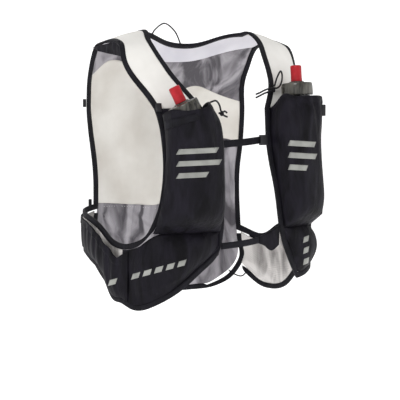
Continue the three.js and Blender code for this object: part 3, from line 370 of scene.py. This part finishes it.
def through(points, per_span=CORD_STEPS):
    """Centripetal Catmull-Rom points through a route, in metres."""
    route = [Vector(p) * MM for p in points]
    ends = [route[0] * 2 - route[1], *route, route[-1] * 2 - route[-2]]
    samples = []
    for i in range(1, len(ends) - 2):
        a, b, c, d = ends[i - 1 : i + 3]
        times = [0.0]
        for start, end in ((a, b), (b, c), (c, d)):
            times.append(times[-1] + max((end - start).length ** 0.5, 1e-6))
        for k in range(per_span):
            t = times[1] + (times[2] - times[1]) * k / per_span
            ab = mix(a, b, times[0], times[1], t)
            bc = mix(b, c, times[1], times[2], t)
            cd = mix(c, d, times[2], times[3], t)
            before = mix(ab, bc, times[0], times[2], t)
            after = mix(bc, cd, times[1], times[3], t)
            samples.append(mix(before, after, times[1], times[2], t))
    return [*samples, route[-1]]


def tube(name, points, diameter, surface):
    """A round curve along points."""
    line = bpy.data.curves.new(name, "CURVE")
    line.dimensions = "3D"
    line.bevel_depth = diameter / 2
    line.bevel_resolution = 3
    line.use_fill_caps = True
    spline = line.splines.new("POLY")
    spline.points.add(len(points) - 1)
    for spot, point in zip(spline.points, points):
        spot.co = (*point, 1)
    line.materials.append(surface)
    made = bpy.data.objects.new(name, line)
    bpy.context.scene.collection.objects.link(made)
    return made


def activate(piece):
    bpy.ops.object.select_all(action="DESELECT")
    piece.select_set(True)
    bpy.context.view_layer.objects.active = piece


def knot(name, centre, turn):
    """An overhand knot, drawn as a closed trefoil about a centre in millimetres."""
    turns = []
    for k in range(KNOT_STEPS):
        t = 2 * math.pi * k / KNOT_STEPS
        across = math.sin(t) + 2 * math.sin(2 * t)
        along = math.cos(t) - 2 * math.cos(2 * t)
        turns.append(Vector((across, along, -math.sin(3 * t))))
    size = (KNOT_RADIUS - CORD_DIAMETER / 2) / 3
    matrix = Matrix.Rotation(turn, 3, "X")
    points = [Vector(centre) * MM + matrix @ p * size for p in turns]
    made = tube("tied_" + name, points, CORD_DIAMETER, finish["cord"])
    made.data.splines[0].use_cyclic_u = True
    activate(made)
    bpy.ops.object.convert(target="MESH")
    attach(made, "vest")
    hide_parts(name)
    return made


def lay_cords():
    """Lays every cord; the right drawcord runs on through its knot into its upper tail."""
    knots = {name: knot(name, centre, 0.6 + 0.9 * i) for i, (name, centre) in enumerate(KNOTS.items())}
    lines = {name: through(route) for name, route in ROUTES.items()}
    laid = {}
    for name, line in lines.items():
        covers = [name]
        if name == "drawcord_right":
            line = [*line, *lines["drawcord_right_tail_a"]]
            covers.append("drawcord_right_tail_a")
        if name == "drawcord_right_tail_a":
            continue
        laid[name] = tube("braid_" + name, line, cord_width(name), finish["cord"])
        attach(laid[name], "vest")
        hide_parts(*covers)
        lines[name] = line
    ends = {
        "drawcord_right": ("bare", [knots["drawcord_right_knot"], laid["drawcord_right_tail_b"]]),
        "drawcord_left_loop": ("object", [knots["drawcord_left_knot"]]),
        "drawcord_left_tail_a": ("bare", []),
        "drawcord_left_tail_b": ("bare", []),
        "nape_loop": ("object", []),
        "hem_cord": ("object", []),
    }
    for name, (far_end, pieces) in ends.items():
        line = lines[name]


lay_cords()

# Cloth: each soft solid is copied, its outline kept by creases, smoothed and folded

BODY_WIDTH = 0.165
BODY_DEPTH = 0.111
SHOULDER_DROP = 0.07
WELD = 0.01 * MM
JOIN_ANGLE = math.radians(40)
JOIN_SHAPE = math.radians(80)
SHARP = math.radians(48)


def away_from_body(point):
    """The direction off the wearer's body at a place on the vest."""
    lift = max(0.0, point.z + SHOULDER_DROP) / SHOULDER_DROP
    return Vector((point.x / BODY_WIDTH**2, point.y / BODY_DEPTH**2, lift / BODY_DEPTH)).normalized()


def merged_copy(name, piece_name):
    """A CAD node's shape as a piece of its own, with triangles joined into quads and sharp edges creased."""
    shape = nodes[name].data.copy()
    piece = bpy.data.objects.new(piece_name, shape)
    bpy.context.scene.collection.objects.link(piece)
    shape.materials.clear()
    work = bmesh.new()
    work.from_mesh(shape)
    bmesh.ops.remove_doubles(work, verts=work.verts, dist=WELD)
    bmesh.ops.join_triangles(
        work, faces=work.faces, angle_face_threshold=JOIN_ANGLE, angle_shape_threshold=JOIN_SHAPE
    )
    crease = work.edges.layers.float.get("crease_edge") or work.edges.layers.float.new("crease_edge")
    for edge in work.edges:
        if len(edge.link_faces) == 2 and edge.calc_face_angle(0) > SHARP:
            edge[crease] = 1.0
    work.to_mesh(shape)
    work.free()
    return piece


def apply(piece, kind, **settings):
    """Adds a modifier to a piece and applies it."""
    activate(piece)
    modifier = piece.modifiers.new(kind.lower(), kind)
    for name, value in settings.items():
        setattr(modifier, name, value)
    bpy.ops.object.modifier_apply(modifier=modifier.name)


def fattened(piece, distance):
    """Moves every vertex out along its normal, so that sewn neighbours meet."""
    normals = [v.normal.copy() for v in piece.data.vertices]
    for vertex, normal in zip(piece.data.vertices, normals):
        vertex.co += normal * distance


def moved(piece, shift):
    """Moves each vertex off the body by what shift gives for its place."""
    for vertex in piece.data.vertices:
        vertex.co += away_from_body(vertex.co) * shift(vertex.co)
    piece.data.update()


def ripple(point, wavelength, stretch, seed):
    """Smooth unevenness from -1 to 1; stretch draws it out along Z."""
    spot = Vector((point.x, point.y, point.z / stretch)) / wavelength
    return noise.noise(spot + Vector((seed, 7.3 * seed, -seed)))


def undulation(point):
    """The slow unevenness that all the cloth of the vest shares, so that seams stay together."""
    return 1.4 * MM * ripple(point, 0.06, 1.6, 1.0)


def folds_from_pixels(name, lines):
    """Fold lines drawn over the photograph, laid on the solid that they show on."""
    tree = BVHTree.FromObject(nodes[name], bpy.context.evaluated_depsgraph_get())
    laid = []
    for start, end, width, height in lines:
        ends = [tree.ray_cast(EYE, sight_line(pixel))[0] for pixel in (start, end)]
        if all(ends):
            laid.append((*ends, width * MM, height * MM))
    return laid


def along_folds(point, folds):
    """The height of folds at a place: round ridges or, for a negative height, valleys."""
    height = 0.0
    for start, end, width, crest in folds:
        line = end - start
        share = max(0.0, min(1.0, (point - start).dot(line) / line.length_squared))
        apart = (point - start - line * share).length / width
        if apart < 3:
            fullness = 0.35 + 0.65 * math.sin(math.pi * (0.15 + 0.7 * share))
            height += crest * math.exp(-apart * apart) * fullness
    return height


RIM_FACING = 0.75


def rim_distance(piece, height_from):
    """Distance of every vertex from a pocket's upward edges above a height."""
    rim = [v.co.copy() for v in piece.data.vertices if v.normal.z > RIM_FACING and v.co.z > height_from]
    tree = KDTree(len(rim))
    for i, spot in enumerate(rim):
        tree.insert(spot, i)
    tree.balance()
    return [tree.find(v.co)[2] for v in piece.data.vertices]


def dressed(name, surface, level=3, plump=0.35, folds=(), shift=None):
    """The finished piece for a soft solid, plump by so many mm, with folds and a shift off the body."""
    piece = merged_copy(name, "sewn_" + name)
    apply(piece, "SUBSURF", levels=level, render_levels=level)
    fattened(piece, plump * MM)
    laid = folds_from_pixels(name, folds)

    def height(point):
        return undulation(point) + along_folds(point, laid) + (shift(point) if shift else 0.0)

    moved(piece, height)
    for face in piece.data.polygons:
        face.use_smooth = True
    piece.data.materials.append(finish[surface])
    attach(piece, "vest")
    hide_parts(name)
    return piece


def mesh_swirl(point):
    """Loose swirling folds of the sheer mesh."""
    return 2.2 * MM * ripple(point, 0.03, 1.8, 3.0) + 0.8 * MM * ripple(point, 0.013, 1.5, 5.0)


def panel_pucker(point):
    """Faint puckers of the woven back panel."""
    return 0.7 * MM * ripple(point, 0.022, 1.3, 9.0)


def strap_pucker(point):
    """Faint puckers of the straps and the yoke."""
    return 0.5 * MM * ripple(point, 0.02, 1.0, 11.0)


def pocket_sag(point):
    """Long soft folds down the rear pocket."""
    return 1.2 * MM * ripple(point, 0.03, 2.5, 13.0)


def film_dent(point):
    """Shallow dents of the soft flasks."""
    return 0.6 * MM * ripple(point, 0.02, 2, 15.0)


# Folds: (from pixel, to pixel, width in mm, height in mm)
LOWER_MESH_FOLDS = [
    ((104, 214), (126, 240), 5, 3.0),
    ((118, 208), (146, 236), 6, -2.5),
    ((134, 210), (152, 226), 4, 2.5),
    ((112, 232), (142, 240), 4, 2.0),
    ((227, 150), (233, 235), 4, 3.0),
    ((236, 175), (229, 262), 4, -2.5),
    ((224, 190), (227, 280), 3.5, 2.5),
]
UPPER_MESH_FOLDS = [
    ((206, 58), (214, 92), 5, 3.0),
    ((224, 52), (246, 92), 5, 3.0),
    ((236, 48), (240, 80), 4, -2.0),
    ((196, 60), (200, 84), 4, -2.0),
]
SIDE_MESH_FOLDS = [
    ((272, 236), (285, 256), 4, 3.5),
    ((247, 260), (274, 280), 6, -3.0),
    ((262, 246), (266, 274), 4, 2.0),
]

dressed("yoke", "yoke", shift=strap_pucker)
dressed("back_mesh_upper", "mesh", folds=UPPER_MESH_FOLDS, shift=mesh_swirl)
dressed("back_panel", "panel", shift=panel_pucker)
dressed("back_mesh_lower", "mesh", folds=LOWER_MESH_FOLDS, shift=mesh_swirl)
dressed("rear_pocket", "knit", shift=pocket_sag)
for side in ("right", "left"):
    mesh_folds = SIDE_MESH_FOLDS if side == "left" else ()
    dressed("shoulder_strap_" + side, "strap", shift=strap_pucker)
    dressed("front_panel_" + side, "knit")
    dressed("flask_" + side, "flask", level=2, plump=0, shift=film_dent)
    dressed("side_mesh_" + side, "side_mesh", folds=mesh_folds, shift=mesh_swirl)
    dressed("armhole_binding_" + side, "tape", level=2, plump=0.7)
    dressed("front_binding_" + side, "tape", level=2, plump=0.7)
dressed("neck_binding", "tape", level=2, plump=0.7)
dressed("back_binding", "tape", level=2, plump=0.7)
dressed("strap_anchor_left", "knit", level=2)
for strap in ("sternum_strap_anchor", "sternum_strap_upper", "sternum_strap_lower"):
    dressed(strap, "tape", level=2, plump=0.15)

# Pockets: gathers hang from the rim and fade downwards
GATHER_DEPTH = 55 * MM
RIM_BAND = 9 * MM
RIM_STANDOUT = 0.9 * MM
CLOTH_PULL = 1.0 * MM
GATHER_CENTRE = 0.02


def gathered(name, surface, rim_from, waves, depth, folds=()):
    """A stretch pocket whose elastic rim gathers the cloth below it."""
    piece = dressed(name, surface, folds=folds)
    below = rim_distance(piece, rim_from)
    for vertex, distance in zip(piece.data.vertices, below):
        point = vertex.co
        turn = math.atan2(point.y + GATHER_CENTRE, point.x)
        fade = math.exp(-((distance / GATHER_DEPTH) ** 2)) * min(1.0, distance / RIM_BAND)
        pleat = math.sin(turn * waves + 2.0 * ripple(point, 0.05, 3.0, 17.0))
        band = RIM_STANDOUT if distance < RIM_BAND else 0.0
        pull = CLOTH_PULL * ripple(point, 0.025, 3.0, 19.0)
        vertex.co += away_from_body(point) * (depth * pleat * fade + band + pull * (1 - fade))
    piece.data.update()
    return piece


RIGHT_POCKET_FOLDS = [
    ((165, 195), (166, 229), 3, -2.0),
    ((170, 190), (170, 228), 3, 2.2),
    ((205, 118), (214, 150), 4, 2.0),
    ((180, 125), (178, 150), 4, -1.5),
]
LEFT_POCKET_FOLDS = [
    ((288, 108), (292, 140), 4, 2.0),
    ((300, 106), (303, 135), 4, -1.5),
    ((312, 105), (316, 140), 4, 2.0),
    ((284, 190), (300, 205), 4, 1.5),
]
RIGHT_SIDE_FOLDS = [
    ((121, 236), (112, 262), 2.5, 2.2),
    ((122, 240), (119, 275), 2.5, 2.0),
    ((117, 236), (104, 252), 2.5, 2.0),
]
RIGHT_LOWER_FOLDS = [
    ((127, 236), (127, 290), 3.0, 3.4),
    ((132, 236), (142, 262), 3.0, 1.8),
    ((150, 238), (176, 252), 5.0, 1.8),
    ((196, 232), (182, 262), 4.0, 1.8),
    ((208, 238), (196, 268), 3.5, -1.6),
    ((140, 292), (176, 280), 4.0, 1.6),
]
LEFT_LOWER_FOLDS = [
    ((290, 226), (312, 232), 3.5, 2.0),
    ((288, 236), (310, 246), 3.5, -1.6),
    ((292, 250), (306, 262), 3.5, 2.0),
]
right_pocket = gathered("flask_pocket_right", "knit", -0.13, 46, 1.3 * MM, RIGHT_POCKET_FOLDS)
left_pocket = gathered("flask_pocket_left", "knit", -0.125, 46, 1.7 * MM, LEFT_POCKET_FOLDS)
side_pockets = {
    "right": gathered("side_pocket_right", "knit", -0.36, 60, 0.9 * MM, RIGHT_SIDE_FOLDS),
    "left": gathered("side_pocket_left", "knit", -0.36, 60, 0.9 * MM),
}


def creased(point):
    """The soft unevenness of the lower fronts."""
    return 1.5 * MM * ripple(point, 0.026, 1.3, 21.0)


lower_fronts = {
    "right": dressed("lower_front_right", "knit", folds=RIGHT_LOWER_FOLDS, shift=creased),
    "left": dressed("lower_front_left", "knit", folds=LEFT_LOWER_FOLDS, shift=creased),
}


def raised(piece, pixel, height, reach):
    """Pulls a pocket's cloth up round the place that a pixel shows."""
    tree = BVHTree.FromObject(piece, bpy.context.evaluated_depsgraph_get())
    centre = tree.ray_cast(EYE, sight_line(pixel))[0]
    for vertex in piece.data.vertices:
        away = (vertex.co - centre).length / reach
        vertex.co.z += height * math.exp(-away * away)
    piece.data.update()


raised(left_pocket, (284, 105), 13 * MM, 15 * MM)
raised(right_pocket, (172, 115), 5 * MM, 16 * MM)

# Hard pieces: rounded edges, each its own copy
EDGE_ANGLE = math.radians(35)


def moulded(name, surface, bevel, level, body="vest"):
    """A moulded piece: its edges rounded by bevel mm and its curves smoothed."""
    piece = merged_copy(name, "moulded_" + name)
    apply(piece, "BEVEL", width=bevel * MM, segments=2, limit_method="ANGLE", angle_limit=EDGE_ANGLE)
    if level:
        apply(piece, "SUBSURF", levels=level, render_levels=level)
    for face in piece.data.polygons:
        face.use_smooth = True
    piece.data.materials.append(finish[surface])
    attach(piece, body)
    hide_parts(name)
    return piece


for side in ("right", "left"):
    moulded("flask_cap_" + side, "cap", 0.35, 1)
    moulded("bite_valve_" + side, "valve", 0.4, 2, body="valve_" + side)
for name in ("sternum_slider", "tab_strap_right", "tab_pocket_left", "tab_back_upper", "tab_back_lower"):
    moulded(name, "plastic", 0.6, 1)

# Reflective bars and dashes: thin film laid on the pockets and lower fronts, placed in pixels
PATCH_LIFT = 0.1 * MM
FILM_THICKNESS = 0.3 * MM
BAR_WIDTH = 5.5
DASH_WIDTH = 6
RIGHT_BARS = [((176, 152), (216, 150)), ((176, 164), (219, 162)), ((176, 176), (206, 174.5))]
LEFT_BARS = [((288, 143), (314, 144.5)), ((288, 155), (315, 156.5)), ((288, 167), (306, 168))]
LEFT_DASHES = [((303, 240 + 11 * i), (308, 238 + 11 * i)) for i in range(3)]
DASH_START = (108, 283)
DASH_PITCH = 11.5
DASH_LENGTH = 7.5
DASH_RISE = 0.27
SEAM_PIXEL = 116


def patch_of(name, spots, columns, surface, thickness, level=0):
    """A thin piece through a grid of places, given row by row."""
    grid = bmesh.new()
    corners = [grid.verts.new(spot) for spot in spots]
    width = columns + 1
    for i in range(len(spots) // width - 1):
        for j in range(columns):
            a = i * width + j
            grid.faces.new((corners[a], corners[a + width], corners[a + width + 1], corners[a + 1]))
    shape = bpy.data.meshes.new(name)
    grid.to_mesh(shape)
    grid.free()
    piece = bpy.data.objects.new(name, shape)
    bpy.context.scene.collection.objects.link(piece)
    apply(piece, "SOLIDIFY", thickness=thickness, offset=0.0)
    if level:
        apply(piece, "SUBSURF", levels=level, render_levels=level)
    for face in piece.data.polygons:
        face.use_smooth = True
    piece.data.materials.append(finish[surface])
    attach(piece, "vest")
    return piece


def laid_patch(name, carrier, corners, columns=14, rows=6, surface="film", thickness=FILM_THICKNESS):
    """A film or tape on a piece, its corners pixels of the photograph; none where it misses the piece."""
    tree = BVHTree.FromObject(carrier, bpy.context.evaluated_depsgraph_get())
    spots = []
    for i in range(rows + 1):
        for j in range(columns + 1):
            u, v = j / columns, i / rows
            top = Vector(corners[0]).lerp(Vector(corners[1]), u)
            bottom = Vector(corners[3]).lerp(Vector(corners[2]), u)
            place, normal, _, _ = tree.ray_cast(EYE, sight_line(top.lerp(bottom, v)))
            if place is None:
                return None
            spots.append(place + normal * (thickness / 2 + PATCH_LIFT))
    return patch_of(name, spots, columns, surface, thickness)


def bar(carrier, name, start, end, width, slant=0.0):
    """A bar between two pixels, width in pixels, its ends cut at a slant."""
    (x0, y0), (x1, y1) = start, end
    half = width / 2
    corners = [(x0 + slant, y0 - half), (x1 + slant, y1 - half), (x1, y1 + half), (x0, y0 + half)]
    return laid_patch(name, carrier, corners)


for i, (start, end) in enumerate(RIGHT_BARS):
    bar(right_pocket, f"film_right_pocket_{i}", start, end, BAR_WIDTH, 3)
for i, (start, end) in enumerate(LEFT_BARS):
    bar(left_pocket, f"film_left_pocket_{i}", start, end, BAR_WIDTH, 2)
for i, (start, end) in enumerate(LEFT_DASHES):
    bar(lower_fronts["left"], f"film_lower_left_{i}", start, end, DASH_WIDTH, 1)
for i in range(7):
    gone = i * DASH_PITCH
    left = (DASH_START[0] + gone, DASH_START[1] - DASH_RISE * gone)
    right = (left[0] + DASH_LENGTH, left[1] - DASH_RISE * DASH_LENGTH)
    carrier = side_pockets["right"] if left[0] < SEAM_PIXEL else lower_fronts["right"]
    bar(carrier, f"film_lower_right_{i}", left, right, DASH_WIDTH, 2)

# The black cloth tip of the right shoulder, which hangs below the edge tape, placed in pixels
SHOULDER_TIP = [(92, 47.5), (120, 40), (123, 57), (99, 51.5)]
SHOULDER_TIP_SEAT = (104, 41.5)
SHOULDER_TIP_STEPS = 8
SHOULDER_TIP_THICKNESS = 1.2 * MM


def shoulder_tip():
    """A small flap in the plane of the armhole tape at the top of the shoulder."""
    tape = bpy.data.objects["sewn_armhole_binding_right"]
    tree = BVHTree.FromObject(tape, bpy.context.evaluated_depsgraph_get())
    seat = tree.ray_cast(EYE, sight_line(SHOULDER_TIP_SEAT))[0]
    steps = SHOULDER_TIP_STEPS
    corners = [Vector(corner) for corner in SHOULDER_TIP]
    spots = []
    for i in range(steps + 1):
        for j in range(steps + 1):
            u, v = j / steps, i / steps
            pixel = corners[0].lerp(corners[1], u).lerp(corners[3].lerp(corners[2], u), v)
            line = sight_line(pixel)
            place = EYE + line * ((seat.x - EYE.x) / line.x)
            place.x += 1.2 * MM * ripple(place, 0.008, 1.0, 31.0)
            spots.append(place)
    piece = patch_of("shoulder_tip_right", spots, steps, "knit", SHOULDER_TIP_THICKNESS, level=1)


shoulder_tip()

# The loose elastic band across the right pocket, below its rim
RIM_BAND_CORNERS = [(165.5, 121), (197, 114), (200, 119), (165.5, 130)]
RIM_BAND_THICKNESS = 1.4 * MM
rim_band = laid_patch(
    "rim_band_right", right_pocket, RIM_BAND_CORNERS, 24, 6, "tape", RIM_BAND_THICKNESS
)

# Stitching: short stitches beside the seam of the back panel
PANEL_SEAM = [(102, 206.5), (115, 206), (130, 206.5), (145, 207.5), (157, 208.5)]
STITCH_LENGTH = 2.2 * MM
STITCH_WIDTH = 0.9 * MM
STITCH_LIFT = 0.2 * MM


def stitches(name, carrier, pixels, pitch, width):
    """A row of stitches through pixels of the photograph, on the piece that they show on."""
    tree = BVHTree.FromObject(carrier, bpy.context.evaluated_depsgraph_get())
    spots = [tree.ray_cast(EYE, sight_line(pixel)) for pixel in pixels]
    line = [place + normal * STITCH_LIFT for place, normal, _, _ in spots if place]
    line = through([p / MM for p in line], 40) if len(line) > 2 else line
    row = bmesh.new()
    gone = 0.0
    for a, b in zip(line, line[1:]):
        gone += (b - a).length
        if gone < pitch * 2:
            continue
        gone = 0.0
        along = (b - a).normalized()
        turn = along.to_track_quat("Z", "Y").to_matrix().to_4x4()
        size = Matrix.Diagonal((width, width * 0.7, pitch, 1))
        matrix = Matrix.Translation(a) @ turn @ size
        bmesh.ops.create_uvsphere(row, u_segments=6, v_segments=4, radius=0.5, matrix=matrix)
    shape = bpy.data.meshes.new(name)
    row.to_mesh(shape)
    row.free()
    for face in shape.polygons:
        face.use_smooth = True
    piece = bpy.data.objects.new(name, shape)
    bpy.context.scene.collection.objects.link(piece)
    piece.data.materials.append(finish["thread"])
    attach(piece, "vest")
    return piece


lower_mesh = bpy.data.objects["sewn_back_mesh_lower"]
stitches("stitches_panel_seam", lower_mesh, PANEL_SEAM, STITCH_LENGTH, STITCH_WIDTH)

# Studio: a pale paper bowl and soft lights

FLOOR_DROP = -0.62
BACKDROP_RADIUS = 6.0
BACKDROP_CURVE = 2.5
BACKDROP_TURNS = [2 * math.pi * i / 72 for i in range(72)]
CURVE_STEPS = [math.pi / 2 * i / 10 for i in range(11)]
BACKDROP_PROFILE = [
    (BACKDROP_RADIUS + BACKDROP_CURVE * math.sin(t), BACKDROP_CURVE * (1 - math.cos(t)))
    for t in CURVE_STEPS
]
# Lamps: name, place in m, side in m, power in W
LAMPS = [
    ("key", (-2.0, -1.6, 1.7), 1.0, 33),
    ("fill", (1.9, -1.7, 0.5), 1.8, 5),
    ("back", (0.6, 2.0, 1.4), 1.6, 9),
    ("top", (0.0, 0.0, 2.0), 1.6, 5),
]
WORLD_LIGHT = 0.46


def studio():
    bpy.ops.object.select_all(action="DESELECT")
    paper = bmesh.new()
    rings = []
    for radius, rise in BACKDROP_PROFILE:
        height = FLOOR_DROP + rise
        spots = [(math.cos(t) * radius, math.sin(t) * radius, height) for t in BACKDROP_TURNS]
        rings.append([paper.verts.new(spot) for spot in spots])
    paper.faces.new(rings[0])
    for inner, outer in zip(rings, rings[1:]):
        for i in range(len(inner)):
            j = (i + 1) % len(inner)
            paper.faces.new((inner[i], outer[i], outer[j], inner[j])).smooth = True
    shape = bpy.data.meshes.new("studio_paper")
    paper.to_mesh(shape)
    paper.free()
    floor = bpy.data.objects.new("studio_floor", shape)
    bpy.context.scene.collection.objects.link(floor)
    shape.materials.append(studio_paper())
    for name, spot, size, power in LAMPS:
        lamp = bpy.data.lights.new(name, "AREA")
        lamp.size = size
        lamp.energy = power
        holder = bpy.data.objects.new(name, lamp)
        aim = CAMERA_AIM - Vector(spot)
        holder.matrix_world = Matrix.Translation(spot) @ aim.to_track_quat("-Z", "Y").to_matrix().to_4x4()
        bpy.context.scene.collection.objects.link(holder)
    world = bpy.data.worlds.new("studio")
    world.use_nodes = True
    world.node_tree.nodes["Background"].inputs["Color"].default_value = linear("ffffff")
    world.node_tree.nodes["Background"].inputs["Strength"].default_value = WORLD_LIGHT
    bpy.context.scene.world = world
    bpy.context.scene.view_settings.view_transform = "Standard"


studio()
